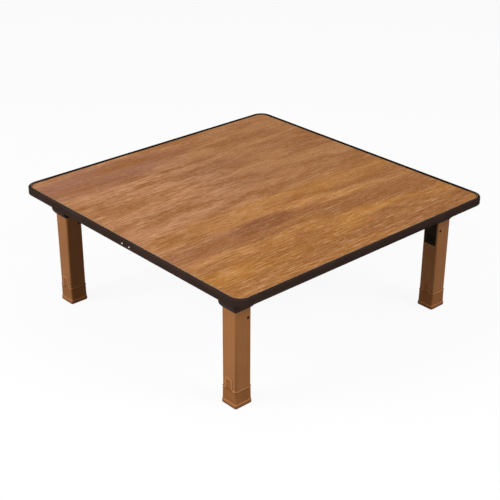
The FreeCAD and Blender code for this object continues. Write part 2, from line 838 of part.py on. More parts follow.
arm_back = named("stop_path") + named("stop_wide") / 2 + named("arm_gap") - latch_across
arm_face = arm_back + named("arm_thick")
arm_top = named("latch_drop") - named("stop_wide") / 2 - named("catch_gap") - named("hook_thick")
plate_face = leg_x - named("lever_recess") - latch_across
plate_back = plate_face - named("lever_thick")
plate_low = window_low + named("lever_end_play") - latch_high
lever_half = window_half - named("lever_side_play")
bore_round = named("latch_pin_wide") / 2 + named("running_fit")


def build_lever():
    body = new_body("latch_lever", latch_across - leg_centre_x, -leg_centre_y, latch_high)
    side = new_sketch(body, "lever_side", "XZ_Plane")
    tongue_face = leg_x - named("leg_wall") - named("tongue_gap") - latch_across
    tongue_back = tongue_face - named("tongue_thick")
    draw_outline(side, [
        (plate_face, plate_low),
        (plate_face, named("bend_low")),
        (arm_face, named("bend_high")),
        (arm_face, arm_top),
        (arm_back, arm_top),
        (arm_back, named("bend_high")),
        (plate_back, named("bend_low")),
        (plate_back, plate_low + named("tongue_lap")),
        (tongue_back, plate_low + named("tongue_lap")),
        (tongue_back, plate_low - named("tongue_deep")),
        (tongue_face, plate_low - named("tongue_deep")),
        (tongue_face, plate_low),
    ])
    add_pad(body, side, lever_half * 2, both_ways=True)
    for name, back in (("lever_near_ear", lever_half - named("ear_wide")), ("lever_far_ear", -lever_half)):
        ear = new_sketch(body, name, "XZ_Plane", back)
        reach = named("ear_reach")
        draw_rounded(ear, -reach, plate_face, -reach, reach, named("ear_round"))
        add_pad(body, ear, named("ear_wide"))
    bore = new_sketch(body, "lever_bore", "XZ_Plane")
    draw_circle(bore, ZERO, ZERO, bore_round)
    add_pocket(body, bore, lever_half * 2 + named("overrun"), both_ways=True)
    peg = new_sketch(body, "lever_peg", "YZ_Plane", arm_back)
    draw_circle(peg, ZERO, arm_top - named("peg_drop"), named("peg_wide") / 2)
    add_pad(body, peg, named("catch_thick") + named("peg_proud"), backwards=True)
    return body


def build_catch():
    """A steel strip on the lever's arm, its end bent to lie under the stop pin."""
    x = latch_across - leg_centre_x + arm_back - named("catch_thick")
    y = -(leg_centre_y + named("catch_wide") / 2)
    top = latch_high + arm_top
    strip = new_box("catch_strip", named("catch_thick"), named("catch_wide"), named("catch_tall"),
                    x, y, top - named("catch_tall"))
    hook_long = named("hook_reach") + named("catch_thick") + named("arm_thick")
    hook = new_box("catch_hook", hook_long, named("catch_wide"), named("hook_thick"),
                   x - named("hook_reach"), y, top)
    bent = fused("catch_bent", [strip, hook])
    hole = new_cylinder("catch_hole", named("peg_wide") / 2 + named("press_fit"),
                        named("catch_thick") + named("overrun") * 2, x - named("overrun"), -leg_centre_y,
                        top - named("peg_drop"), Vector(1, 0, 0))
    return cut("latch_catch", bent, hole)


def build_spring():
    """A hairpin strip round the latch pin, between the leg's outer wall and the back of the lever."""
    body = new_body("latch_spring", latch_across - leg_centre_x, -leg_centre_y, latch_high)
    inside = named("latch_pin_wide") / 2 + named("spring_hug")
    outside = inside + named("spring_thick")
    coil = new_sketch(body, "spring_coil", "XZ_Plane")
    draw_circle(coil, ZERO, ZERO, outside)
    add_pad(body, coil, named("spring_wide"), both_ways=True)
    pad_reach = plate_back - named("spring_end_gap")
    pad_low = plate_low + named("tongue_lap") + named("spring_pad_gap")
    pad_arm = new_sketch(body, "spring_pad_arm", "XZ_Plane")
    draw_outline(pad_arm, [
        (inside, ZERO),
        (outside, ZERO),
        (pad_reach, pad_low),
        (pad_reach - named("spring_thick"), pad_low),
    ])
    add_pad(body, pad_arm, named("spring_wide"), both_ways=True)
    wall_reach = named("leg_wall") + named("spring_end_gap") - leg_x - latch_across
    wall_arm = new_sketch(body, "spring_wall_arm", "XZ_Plane")
    draw_outline(wall_arm, [
        (-outside, ZERO),
        (-inside, ZERO),
        (wall_reach + named("spring_thick"), -named("spring_wall_drop")),
        (wall_reach, -named("spring_wall_drop")),
    ])
    add_pad(body, wall_arm, named("spring_wide"), both_ways=True)
    eye = new_sketch(body, "spring_eye", "XZ_Plane")
    draw_circle(eye, ZERO, ZERO, inside)
    add_pocket(body, eye, named("spring_wide") + named("overrun"), both_ways=True)
    return body


# All sub-parts: the board's own, then each corner's, mirrored from the front left one.
# A leg and its cap have two equal halves, so they are the same pieces at all four corners.

board_parts = [build_core(), build_top_laminate(), build_under_laminate(), build_band(), build_nails()]
corner_parts = [
    build_seat(),
    build_screws(),
    build_pin("hinge_pin", ZERO, "hinge_wide", "hinge_head_wide", "hinge_head_thick"),
    build_pin("stop_pin", named("stop_path"), "stop_wide", "stop_head_wide", "stop_head_thick"),
    build_leg(),
    build_cap(),
    build_latch_pin(),
    build_lever(),
    build_catch(),
    build_spring(),
]


def mirrored(source, label, normal):
    """The same piece on the other side of the table's middle."""
    other = doc.addObject("Part::Mirroring", label)
    other.Label = label
    other.Source = source
    other.Normal = normal
    place(other)
    return other


made_parts = list(board_parts)
across_x = Vector(1, 0, 0)
across_y = Vector(0, 1, 0)
for piece in corner_parts:
    kind = piece.Label
    piece.Label = f"{kind}_front_left"
    rear_left = mirrored(piece, f"{kind}_rear_left", across_y)
    front_right = mirrored(piece, f"{kind}_front_right", across_x)
    rear_right = mirrored(rear_left, f"{kind}_rear_right", across_x)
    made_parts += [piece, front_right, rear_left, rear_right]
doc.recompute()

# Every object is checked, then each sub-part is written to a file of its own

for item in doc.Objects:
    if "Invalid" in item.State or "Error" in item.State:
        raise RuntimeError(f"{item.Label} is {item.State}")

for piece in made_parts:
    if piece.Shape.isNull() or not piece.Shape.isValid():
        raise RuntimeError(f"{piece.Label} has no valid shape")
    piece.Shape.exportStep(f"parts/{piece.Label}.step")
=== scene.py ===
# %% [markdown]
# # A folding low table, from measured solids to a finished picture
#
# The solids of this square floor table come from its CAD model, which is packed as a fixed frame.
# This notebook gives them their finishes, adds the small forms that catch the light, and sets up the
# studio. Everything is in metres: X runs along the front edge, Y from front to back, Z up from the floor.

# %% Load the frame
import json
import math

import bpy
from mathutils import Matrix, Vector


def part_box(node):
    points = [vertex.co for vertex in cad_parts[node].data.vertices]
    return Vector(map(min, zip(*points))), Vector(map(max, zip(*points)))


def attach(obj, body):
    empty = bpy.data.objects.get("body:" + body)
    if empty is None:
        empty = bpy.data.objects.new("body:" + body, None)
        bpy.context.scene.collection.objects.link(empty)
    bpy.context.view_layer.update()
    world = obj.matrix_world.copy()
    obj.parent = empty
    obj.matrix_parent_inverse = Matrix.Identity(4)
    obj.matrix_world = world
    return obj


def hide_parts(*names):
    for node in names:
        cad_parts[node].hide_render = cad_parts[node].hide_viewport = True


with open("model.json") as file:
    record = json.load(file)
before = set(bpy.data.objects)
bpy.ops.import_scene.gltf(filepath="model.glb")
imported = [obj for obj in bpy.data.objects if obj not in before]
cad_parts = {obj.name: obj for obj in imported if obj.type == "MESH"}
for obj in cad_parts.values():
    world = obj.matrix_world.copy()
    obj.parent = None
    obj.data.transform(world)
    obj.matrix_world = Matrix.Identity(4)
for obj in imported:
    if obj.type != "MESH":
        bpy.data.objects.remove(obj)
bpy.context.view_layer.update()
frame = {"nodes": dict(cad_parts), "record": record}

# %% [markdown]
# ## Shader maths as plain sums
#
# A procedural finish is a sum of patterns. Each sum could be wired by hand in the shader editor, but that
# hides the idea. So a small class wraps a socket: adding or multiplying two of them adds the Math node.

# %% A signal
class Signal:
    """A number, vector, colour or shape on its way through a node tree."""

    def __init__(self, plan, socket):
        self.plan = plan
        self.socket = socket

    def math_with(self, operation, first, second):
        return self.plan.node("ShaderNodeMath", {"operation": operation}, {0: first, 1: second})

    def __add__(self, other):
        return self.math_with("ADD", self, other)

    def __sub__(self, other):
        return self.math_with("SUBTRACT", self, other)

    def __rsub__(self, other):
        return self.math_with("SUBTRACT", other, self)

    def __mul__(self, other):
        return self.math_with("MULTIPLY", self, other)

    def __gt__(self, other):
        return self.math_with("GREATER_THAN", self, other)

    def at_least(self, other):
        return self.math_with("MAXIMUM", self, other)

    def to_power(self, other):
        return self.math_with("POWER", self, other)

    def size(self):
        return self.math_with("ABSOLUTE", self, 0.0)

    __radd__ = __add__
    __rmul__ = __mul__


# %% [markdown]
# ## One way to add any node
#
# Materials and Geometry Nodes are both node trees, so one class serves both. Its method takes a node's
# type, then its settings, because a setting can change which sockets a node has, and then the values or
# links of those sockets.

# %% A plan of nodes
class Plan:
    """A node tree that is written as sums of signals."""

    def feed(self, socket, value):
        if isinstance(value, Signal):
            self.tree.links.new(value.socket, socket)
        else:
            socket.default_value = value

    def node(self, kind, settings, sockets, output=0):
        """Any node: its settings first, then the values or links of its sockets."""
        made = self.tree.nodes.new(kind)
        for name, value in settings.items():
            if name == "stops":
                set_stops(made.color_ramp, value)
            else:
                setattr(made, name, value)
        for name, value in sockets.items():
            self.feed(made.inputs[name], value)
        return Signal(self, made.outputs[output])

    def part(self, vector, axis):
        """The X, Y or Z of a vector."""
        return self.node("ShaderNodeSeparateXYZ", {}, {"Vector": vector}, axis)


def set_stops(ramp, stops):
    """Gives a colour ramp its stops, as (place, colour) pairs."""
    for element in list(ramp.elements)[1:]:
        ramp.elements.remove(element)
    ramp.elements[0].position, ramp.elements[0].color = stops[0]
    for place, colour in stops[1:]:
        ramp.elements.new(place).color = colour


# %% [markdown]
# ## A finish
#
# A finish is a plan whose signals end in one Principled shader. Its patterns read Object coordinates, so
# they keep their size and place however a leg is turned. Colours have a Mix node of their own, because a
# Math node would turn them grey.

# %% A finish
class Finish(Plan):
    """A material whose signals feed one Principled shader."""

    def __init__(self, name):
        self.material = bpy.data.materials.new(name)
        self.material.use_nodes = True
        self.tree = self.material.node_tree
        self.shader = self.tree.nodes["Principled BSDF"]

    def place(self):
        """The piece's own coordinates, in metres."""
        return self.node("ShaderNodeTexCoord", {}, {}, "Object")

    def at(self, axis):
        """The place along one axis."""
        return self.part(self.place(), axis)

    def stretched(self, scale, shift=(0.0, 0.0, 0.0)):
        """The place, scaled along each axis and then shifted."""
        return self.node("ShaderNodeMapping", {}, {
            "Vector": self.place(), "Location": shift, "Scale": scale})

    def cloud(self, stretch, detail=2.0, rough=0.5, twist=0.0):
        """Soft noise between 0 and 1; a stretch in units per metre sets its size along each axis."""
        return self.node("ShaderNodeTexNoise", {}, {
            "Vector": self.stretched(stretch), "Scale": 1.0,
            "Detail": detail, "Roughness": rough, "Distortion": twist})

    def between(self, value, low, high):
        """0 at low, 1 at high, and a smooth step in between."""
        return self.node("ShaderNodeMapRange", {"interpolation_type": "SMOOTHSTEP"}, {
            "Value": value, "From Min": low, "From Max": high})

    def blend(self, share, first, second):
        """The first colour where share is 0, the second where it is 1."""
        return self.node("ShaderNodeMix", {"data_type": "RGBA"}, {0: share, 6: first, 7: second}, 2)

    def colours(self, value, stops):
        return self.node("ShaderNodeValToRGB", {"stops": stops}, {"Fac": value})

    def relief(self, height, depth):
        """A bump whose height signal spans depth metres."""
        return self.node("ShaderNodeBump", {}, {"Height": height, "Distance": depth, "Strength": 1.0})

    def set(self, **sockets):
        """Feeds the shader's sockets; base_color stands for Base Color."""
        for name, value in sockets.items():
            self.feed(self.shader.inputs[name.replace("_", " ").title().replace("Ior", "IOR")], value)
        return self.material


def paint(red, green, blue):
    """A colour read as it shows on a screen, from 0 to 255, as Blender's linear colour."""
    shares = [value / 255 for value in (red, green, blue)]
    linear = [share / 12.92 if share <= 0.04045 else ((share + 0.055) / 1.055) ** 2.4 for share in shares]
    return (*linear, 1.0)


# %% [markdown]
# ## Large patches of the printed wood
#
# The board's top is a melamine sheet with a wood print. Broad soft patches of rosy, golden and dark wood
# show from across a room. Noise could make such patches, but not where this print has them, so they are
# placed one by one. Each is an ellipse, a spherical gradient that is scaled to its reach, and a noise added
# to the gradient makes its edge ragged.

# %% Patches
# The pale, greyish colour is a painted sheen: the bright surroundings reflected on the left and back
PAINTED_SHEEN_WOOD = paint(182, 131, 114)
ROSY_WOOD = paint(162, 108, 86)
DARK_WOOD = paint(147, 91, 57)
DULL_WOOD = paint(164, 114, 82)
# Partly the print's own red and partly the painted shadow of a thing standing on the board in front
RED_WOOD_AND_SHADOW = paint(130, 74, 46)
GOLDEN_WOOD = paint(187, 123, 45)

# Each patch: its centre, its half length and half width in metres, its colour, its strength and how
# far it calms the fine grain
PATCHES = [
    ((-0.32, 0.12), (0.50, 0.45), PAINTED_SHEEN_WOOD, 0.45, 0.0),
    ((0.10, -0.36), (0.75, 0.26), GOLDEN_WOOD, 0.68, 0.0),
    ((0.00, -0.38), (0.80, 0.10), DARK_WOOD, 0.36, 0.0),
    ((0.30, 0.18), (0.46, 0.44), DULL_WOOD, 0.50, 0.5),
    ((-0.26, 0.315), (0.36, 0.080), ROSY_WOOD, 0.85, 0.8),
    ((-0.26, 0.110), (0.26, 0.050), GOLDEN_WOOD, 0.20, 0.0),
    ((-0.12, -0.090), (0.38, 0.055), GOLDEN_WOOD, 0.55, 0.2),
    ((-0.18, -0.175), (0.36, 0.050), DARK_WOOD, 0.50, 0.5),
    ((-0.11, -0.155), (0.11, 0.040), RED_WOOD_AND_SHADOW, 0.70, 0.4),
    ((0.26, -0.215), (0.30, 0.055), DARK_WOOD, 0.60, 0.4),
    ((0.22, -0.330), (0.30, 0.060), DARK_WOOD, 0.35, 0.0),
    ((-0.22, -0.300), (0.34, 0.050), GOLDEN_WOOD, 0.40, 0.0),
    ((0.24, -0.085), (0.22, 0.050), GOLDEN_WOOD, 0.40, 0.3),
    ((0.10, 0.180), (0.24, 0.035), DARK_WOOD, 0.25, 0.0),
]


def patch_mask(wood, centre, reach, ragged):
    """1 in the middle of an ellipse and 0 outside it, with an edge that a noise makes ragged."""
    scale = (1 / reach[0], 1 / reach[1], 0.0)
    shift = (-centre[0] / reach[0], -centre[1] / reach[1], 0.0)
    unit = wood.stretched(scale, shift)
    ball = wood.node("ShaderNodeTexGradient", {"gradient_type": "SPHERICAL"}, {"Vector": unit}, "Fac")
    return wood.between(ball + ragged, 0.42, 0.92)


print(len(PATCHES), "patches on the print")

# %% [markdown]
# ## Painted shade along the lip
#
# The edging's lip laps the sheet, and shade falls where they meet. A groove could be cut in the mesh,
# but it would be a few tenths of a millimetre wide, which a picture hardly holds. So the shade is painted
# in the finish, as a dark line along the straight sides and the rounds of the corners. Seen from the front
# left, the far lips hide less of it, and it is painted wider along the back and right as the lip's shadow.

# %% Painted lip shade
BOARD = {"Long": 0.8, "Wide": 0.8, "Corner": 0.032}
# How far from the centre of a corner's round the painted shade line starts to show and is full, and how
# much sooner it starts on the far sides, where it is painted wider as the lip's shadow
SHADE_LINE_SHOWS, SHADE_LINE_FULL, SHADE_LINE_WIDER = 0.0226, 0.0240, 0.0018


def far_side(finish):
    """1 along the back and the right of the board, and 0 along its front and its left."""
    turning = 0.06
    return finish.between(finish.at("X") + finish.at("Y"), -turning, turning)


def lip_shade_line(wood):
    """1 in the painted shade line along the edging's lip, and 0 inside it."""
    past_x = (wood.at("X").size() - (BOARD["Long"] / 2 - BOARD["Corner"])).at_least(0.0)
    past_y = (wood.at("Y").size() - (BOARD["Wide"] / 2 - BOARD["Corner"])).at_least(0.0)
    reach = (past_x.to_power(2.0) + past_y.to_power(2.0)).to_power(0.5)
    return wood.between(reach + far_side(wood) * SHADE_LINE_WIDER, SHADE_LINE_SHOWS, SHADE_LINE_FULL)


print("gap along the lip about", round((BOARD["Corner"] - SHADE_LINE_SHOWS) * 1000, 1), "mm from the board's side")


# %% [markdown]
# ## The wood print
#
# Under and over the patches a print has finer scales: bands and streaks that run its whole length, fine
# grain, and short flecks and pores. An image would hold them, but it would blur close up. Here each is a
# noise, stretched along X, the way the print runs, and blended on as a darker or a lighter layer.

# %% Wood print
def make_wood_print():
    wood = Finish("wood_print")
    ragged = wood.cloud((4.0, 20.0, 0.0), detail=4.0, rough=0.6)
    bands = wood.cloud((1.6, 12.0, 0.0), detail=3.0, rough=0.6, twist=0.4)
    streaks = wood.cloud((4.0, 70.0, 0.0), detail=3.0, rough=0.6, twist=0.3)
    grain = wood.cloud((20.0, 230.0, 0.0), detail=3.0, rough=0.65, twist=0.3)
    flecks = wood.cloud((90.0, 330.0, 0.0), detail=3.0, rough=0.6, twist=0.6)
    shown = wood.colours(bands, [
        (0.34, paint(199, 134, 75)),
        (0.50, paint(210, 146, 83)),
        (0.66, paint(218, 156, 92)),
    ])
    calm = 0.0
    for centre, reach, colour, strength, smooth in PATCHES:
        mask = patch_mask(wood, centre, reach, ragged)
        shown = wood.blend(mask * strength, shown, colour)
        calm = (mask * smooth).at_least(calm)
    lively = 1.0 - calm
    # Each layer: its noise, the values where it starts and is full, its strength and its colour
    layers = [
        (streaks, 0.50, 0.28, 0.20, paint(136, 80, 36)),
        (streaks, 0.54, 0.72, 0.24, paint(226, 170, 112)),
        (grain, 0.50, 0.28, lively * 0.64, paint(126, 70, 18)),
        (grain, 0.50, 0.72, lively * 0.62, paint(236, 188, 144)),
        (flecks, 0.54, 0.74, 0.42, paint(230, 180, 132)),
    ]
    for noise, clear, full, strength, colour in layers:
        shown = wood.blend(wood.between(noise, clear, full) * strength, shown, colour)
    pores = wood.between(flecks, 0.46, 0.30) * 0.45
    shown = wood.blend(pores, shown, paint(116, 62, 18))
    return wood.set(
        # Painted shade: the dark line along the edging's lip
        base_color=wood.blend(lip_shade_line(wood), shown, paint(24, 13, 7)),
        specular_ior_level=0.15,
        roughness=0.36 + flecks * 0.12,
        normal=wood.relief(flecks * 0.4 - pores * 0.6, 0.00004),
    )


wood_print = make_wood_print()
print("wood print has", len(wood_print.node_tree.nodes), "nodes")

# %% [markdown]
# ## Moulded plastics
#
# The edging, the corner seats and the legs are plastic. A moulded surface is never one flat colour: it
# has a fine satin texture from the mould, faint flow streaks and slightly rubbed patches. Each piece could
# have a tree of its own, but they differ only in numbers. So one function makes them all, from a colour, a
# rubbed colour, a roughness, the stretch of the flow streaks and a gloss.

# %% A plastic
def make_plastic(name, body, rubbed, sheen, flow, gloss, shade=None):
    """A moulded plastic; shade, where given, works its colour over."""
    plastic = Finish(name)
    streaks = plastic.cloud(flow, detail=3.0, rough=0.6)
    patches = plastic.cloud((14.0, 14.0, 14.0))
    texture = plastic.cloud((900.0, 900.0, 900.0), detail=1.0)
    share = plastic.between(streaks * 0.6 + patches * 0.4, 0.38, 0.64)
    shown = plastic.blend(share, paint(*body), paint(*rubbed))
    if shade:
        shown = shade(plastic, shown)
    return plastic.set(
        base_color=shown,
        specular_ior_level=gloss,
        roughness=sheen + patches * 0.14,
        normal=plastic.relief(texture, 0.00003),
    )


# %% [markdown]
# ## The edging's two sides
#
# Along the back and the right the photograph shows the top of the lip nearly black. Light alone could do
# that, but lamps that leave it so dark would darken the wood as well. So shade is painted into the finish:
# it is darker on top of the lip there. The raised thread on the lip's inner edge has a painted highlight,
# pale along the front and the left, and painted shade, as dark as the lip, along the back and the right.

# %% Edging and lip thread
# Painted shade on top of the lip and on the lip thread, along the back and the right
LIP_SHADE = paint(22, 13, 8)
SHADE_FROM, SHADE_TO = 0.3070, 0.3084


def darken_far_lip(plastic, shown):
    """Shades the top of the lip along the back and the right, between two heights from the floor."""
    on_lip = plastic.between(plastic.at("Z"), SHADE_FROM, SHADE_TO)
    return plastic.blend(far_side(plastic) * on_lip, shown, LIP_SHADE)


def make_lip_thread():
    thread = Finish("lip_thread")
    thread_noise = thread.cloud((40.0, 40.0, 40.0), detail=3.0)
    # Painted highlight in two pale colours; along the back and the right, painted shade instead
    thread_highlight = thread.blend(thread_noise, paint(196, 172, 152), paint(158, 130, 110))
    return thread.set(
        base_color=thread.blend(far_side(thread), thread_highlight, LIP_SHADE),
        specular_ior_level=0.1,
        roughness=0.4 + thread_noise * 0.2,
    )


lip_thread = make_lip_thread()
edging_plastic = make_plastic(
    "edging_plastic", (56, 43, 38), (64, 50, 44), 0.5, (6.0, 6.0, 120.0), 0.0, darken_far_lip)
print("made", edging_plastic.name, "and", lip_thread.name)

# %% [markdown]
# ## Seats, legs, caps and latches
#
# The legs are brown plastic whose flow runs down their length. The caps are a little darker. The raised
# beads on them are painted paler as a highlight, and the line under each bead is painted dark as shade.

# %% The other plastics
FINE = (60.0, 60.0, 60.0)
DOWN_LEG = (150.0, 150.0, 2.0)
seat_plastic = make_plastic("seat_plastic", (52, 40, 36), (58, 45, 40), 0.55, (20.0, 20.0, 40.0), 0.04)
leg_plastic = make_plastic("leg_plastic", (154, 101, 60), (162, 109, 66), 0.34, DOWN_LEG, 0.06)
cap_plastic = make_plastic("cap_plastic", (143, 91, 51), (152, 99, 57), 0.38, FINE, 0.06)
# Painted highlight on the beads; painted shade on the seam line and on the ring round the foot
bead_highlight_plastic = make_plastic("bead_highlight_plastic", (200, 138, 90), (188, 126, 80), 0.34, FINE, 0.05)
seam_shade_plastic = make_plastic("seam_shade_plastic", (88, 54, 30), (98, 62, 36), 0.6, FINE, 0.05)
foot_shade_finish = make_plastic("foot_shade_finish", (58, 40, 28), (70, 50, 36), 0.7, FINE, 0.05)
latch_plastic = make_plastic("latch_plastic", (42, 33, 25), (48, 38, 30), 0.55, (60.0, 60.0, 8.0), 0.04)
# Dark pin colour, also used as painted shade over the rim of the hole round each pin
dark_pin_and_hole_shade = make_plastic("dark_pin_and_hole_shade", (20, 13, 9), (26, 18, 13), 0.6, FINE, 0.04)
print("finishes so far:", len(bpy.data.materials))

# %% [markdown]
# ## Plated steel
#
# The pins, springs and screws are zinc-plated steel, and the two nails are brighter. A flat metal looks
# like grey paint, so the roughness varies in fine drawn lines and a faint stain darkens the plating.

# %% Steel
def make_steel(name, shade, rough):
    steel = Finish(name)
    lines = steel.cloud((300.0, 300.0, 1400.0))
    stain = steel.cloud((90.0, 90.0, 90.0))
    darker = [value - 26 for value in shade]
    return steel.set(
        base_color=steel.blend(stain, paint(*shade), paint(*darker)),
        metallic=1.0,
        roughness=rough + lines * 0.16,
        normal=steel.relief(lines, 0.00001),
    )


plated_steel = make_steel("plated_steel", (186, 186, 184), 0.24)
nail_steel = make_steel("nail_steel", (226, 222, 214), 0.16)
print("made", plated_steel.name, "and", nail_steel.name)

# %% [markdown]
# ## The pressed core and the backing sheet
#
# The core is pressed wood chips. Noise would look like sand, but a Voronoi pattern has cells, and each
# cell's own colour makes it a chip. The backing sheet is plain brown melamine with a faint mottle.

# %% Core and backing
def make_core():
    core = Finish("pressed_chips")
    chips = core.node("ShaderNodeTexVoronoi", {}, {
        "Vector": core.stretched((260.0, 420.0, 420.0)), "Scale": 1.0}, "Color")
    depth = core.cloud((500.0, 500.0, 500.0), detail=3.0)
    mixed = core.node("ShaderNodeSeparateColor", {}, {"Color": chips})
    return core.set(
        base_color=core.blend(mixed * 0.6 + depth * 0.3, paint(196, 164, 118), paint(142, 108, 70)),
        roughness=0.85,
        normal=core.relief(depth, 0.0002),
    )


def make_backing():
    backing = Finish("backing_sheet")
    mottle = backing.cloud((60.0, 60.0, 60.0), detail=4.0, rough=0.6)
    fleck = backing.cloud((420.0, 420.0, 420.0))
    return backing.set(
        base_color=backing.blend(mottle, paint(98, 68, 46), paint(116, 82, 56)),
        roughness=0.5 + fleck * 0.2,
        normal=backing.relief(fleck, 0.00003),
    )


pressed_chips = make_core()
backing_sheet = make_backing()
print("made", pressed_chips.name, "and", backing_sheet.name)

# %% [markdown]
# ## Pieces that follow a rule
#
# The edging follows the board's outline, the beads on the foot caps follow the leg's outline, and the
# grip ribs of a latch repeat. Geometry Nodes fit such pieces: the rule is the tree, its sizes are named
# inputs, and one tree serves all four corners. The class below writes a tree in the same plain sums as a
# finish. What comes out is turned into a plain mesh that rides on its body.

# %% A form made by nodes
class Form(Plan):
    """A Geometry Nodes tree whose sizes are named inputs, in metres."""

    def __init__(self, name, sizes):
        self.tree = bpy.data.node_groups.new(name, "GeometryNodeTree")
        self.keys = {}
        for label, size in sizes.items():
            kind = "NodeSocketVector" if isinstance(size, tuple) else "NodeSocketFloat"
            socket = self.tree.interface.new_socket(label, in_out="INPUT", socket_type=kind)
            socket.default_value = size
            self.keys[label] = socket.identifier
        self.tree.interface.new_socket("Piece", in_out="OUTPUT", socket_type="NodeSocketGeometry")
        self.sizes = self.tree.nodes.new("NodeGroupInput")

    def __getitem__(self, label):
        return Signal(self, self.sizes.outputs[label])

    def at(self, axis):
        """The place of each point along one axis."""
        return self.part(self.node("GeometryNodeInputPosition", {}, {}), axis)

    def vector(self, x, y, z):
        return self.node("ShaderNodeCombineXYZ", {}, {"X": x, "Y": y, "Z": z})

    def circle(self, points, radius):
        return self.node("GeometryNodeCurvePrimitiveCircle", {}, {"Resolution": points, "Radius": radius})

    def rounded(self, across, along, corner):
        """A closed rectangle round the origin, flat on XY, with round corners."""
        square = self.node("GeometryNodeCurvePrimitiveQuadrilateral", {}, {
            "Width": across, "Height": along})
        return self.node("GeometryNodeFilletCurve", {"mode": "POLY"}, {
            "Curve": square, "Count": 10, "Radius": corner, "Limit Radius": True})

    def moved(self, shape, offset, turn=(0.0, 0.0, 0.0)):
        return self.node("GeometryNodeTransform", {}, {
            "Geometry": shape, "Translation": offset, "Rotation": turn})

    def swept(self, path, section):
        return self.node("GeometryNodeCurveToMesh", {}, {
            "Curve": path, "Profile Curve": section, "Fill Caps": True})

    def joined(self, *shapes):
        join = self.tree.nodes.new("GeometryNodeJoinGeometry")
        for shape in shapes:
            self.tree.links.new(shape.socket, join.inputs[0])
        return Signal(self, join.outputs[0])

    def end(self, shape, material):
        real = self.node("GeometryNodeRealizeInstances", {}, {"Geometry": shape})
        dressed = self.node("GeometryNodeSetMaterial", {}, {"Geometry": real, "Material": material})
        self.feed(self.tree.nodes.new("NodeGroupOutput").inputs[0], dressed)

    def make(self, name, body, slot, **sizes):
        """One piece of this form as a plain mesh, riding on a body."""
        piece = bpy.data.objects.new(name, bpy.data.meshes.new(name))
        bpy.context.scene.collection.objects.link(piece)
        modifier = piece.modifiers.new("form", "NODES")
        modifier.node_group = self.tree
        for label, size in sizes.items():
            modifier[self.keys[label.title()]] = size
        solid = piece.evaluated_get(bpy.context.evaluated_depsgraph_get())
        piece.data = bpy.data.meshes.new_from_object(solid)
        piece.modifiers.clear()
        piece.data.name = name
        keep_last_material(piece.data)
        piece.data.shade_smooth()
        piece.data.set_sharp_from_angle(angle=math.radians(35))
        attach(piece, body)
        print(name, "has", len(piece.data.polygons), "faces")
        return piece


def keep_last_material(mesh):
    """Drops the empty slot that may come before Set Material's finish, and gives each face that finish."""
    finish = mesh.materials[-1]
    mesh.materials.clear()
    mesh.materials.append(finish)
    mesh.polygons.foreach_set("material_index", [0] * len(mesh.polygons))


# %% [markdown]
# ## The edging
#
# A dark plastic profile runs round the board: round along its top and rounder along its base, with a lip
# that laps the wood. Its two ends meet at a butt seam in the left side. A section swept along the board's
# outline is exactly how the real profile is laid, so the tree sweeps one, then cuts the seam. Each corner
# of the section has its own radius, picked by where the corner lies. The sweep has finer rounds than the
# solid's mesh, so it takes the solid's place in the picture.

# %% Sweep the edging
def make_edging():
    form = Form("edging_form", {
        **BOARD, "Thick": 0.006, "High": 0.0205, "Base": 0.2895,
        "Top Round": 0.0026, "Low Round": 0.0042, "Lip Round": 0.0007,
        "Seam At": -0.0206, "Seam Gap": 0.0005})
    thick, high, lip_round, top_round = form["Thick"], form["High"], form["Lip Round"], form["Top Round"]
    middle = form["Base"] + high * 0.5
    outer = form.at("X") > 0.0
    low = form.at("Y") * -1.0 > 0.0
    radius = lip_round + outer * (top_round - lip_round) + outer * low * (form["Low Round"] - top_round)
    section = form.rounded(thick, high, radius)
    outline = form.rounded(form["Long"] - thick, form["Wide"] - thick, form["Corner"] - thick * 0.5)
    ring = form.swept(form.moved(outline, form.vector(0.0, 0.0, middle)), section)
    blade = form.node("GeometryNodeMeshCube", {}, {
        "Size": form.vector(thick * 4.0, form["Seam Gap"], high * 2.0)})
    at_seam = form.vector(form["Long"] * -0.5, form["Seam At"], middle)
    cut = form.node("GeometryNodeMeshBoolean", {"operation": "DIFFERENCE"}, {
        "Mesh 1": ring, "Mesh 2": form.moved(blade, at_seam)})
    form.end(cut, edging_plastic)
    return form.make("edging", "tabletop", "edging_plastic")


edging = make_edging()
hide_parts("edge_band")

# %% [markdown]
# ## The thread inside the edging's lip
#
# Where the lip of the edging meets the wood sheet, its thin inner edge is a raised thread all round the
# board. It is about a pixel wide in the picture, so it is a shape that catches the light, and its finish
# paints a highlight on it along the front and the left and shade along the back and the right. It is a
# second sweep along the same outline, set in from it.

# %% Sweep the lip thread
def make_lip_line():
    form = Form("lip_line_form", {**BOARD, "Inset": 0.0066, "Thick": 0.0016, "Base": 0.3082})
    inset, thick = form["Inset"], form["Thick"]
    section = form.circle(8, thick * 0.5)
    both = inset * 2.0
    outline = form.rounded(form["Long"] - both, form["Wide"] - both, form["Corner"] - inset)
    height = form["Base"] + thick * 0.5
    form.end(form.swept(form.moved(outline, form.vector(0.0, 0.0, height)), section), lip_thread)
    form.make("lip_line", "tabletop", "edging_plastic")


make_lip_line()

# %% [markdown]
# ## Where the legs stand
#
# The small forms of a leg are laid at all four corners. Their places could be typed, but the packed
# solids already have them, so they are measured there.

# %% Measure the legs
def middle_of(node):
    """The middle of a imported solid's box."""
    low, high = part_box(node)
    return tuple((start + end) / 2 for start, end in zip(low, high))


CORNERS = {}
for corner in ("front_left", "front_right", "rear_left", "rear_right"):
    CORNERS[corner] = middle_of(f"leg_tube_{corner}")[:2]
leg_low, leg_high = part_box("leg_tube_front_left")
LEG_ACROSS = leg_high[0] - leg_low[0]
LEG_ALONG = leg_high[1] - leg_low[1]
CAP_TOP = leg_low[2]
print("legs at", CORNERS, "across", LEG_ACROSS, "along", LEG_ALONG, "cap top", CAP_TOP)
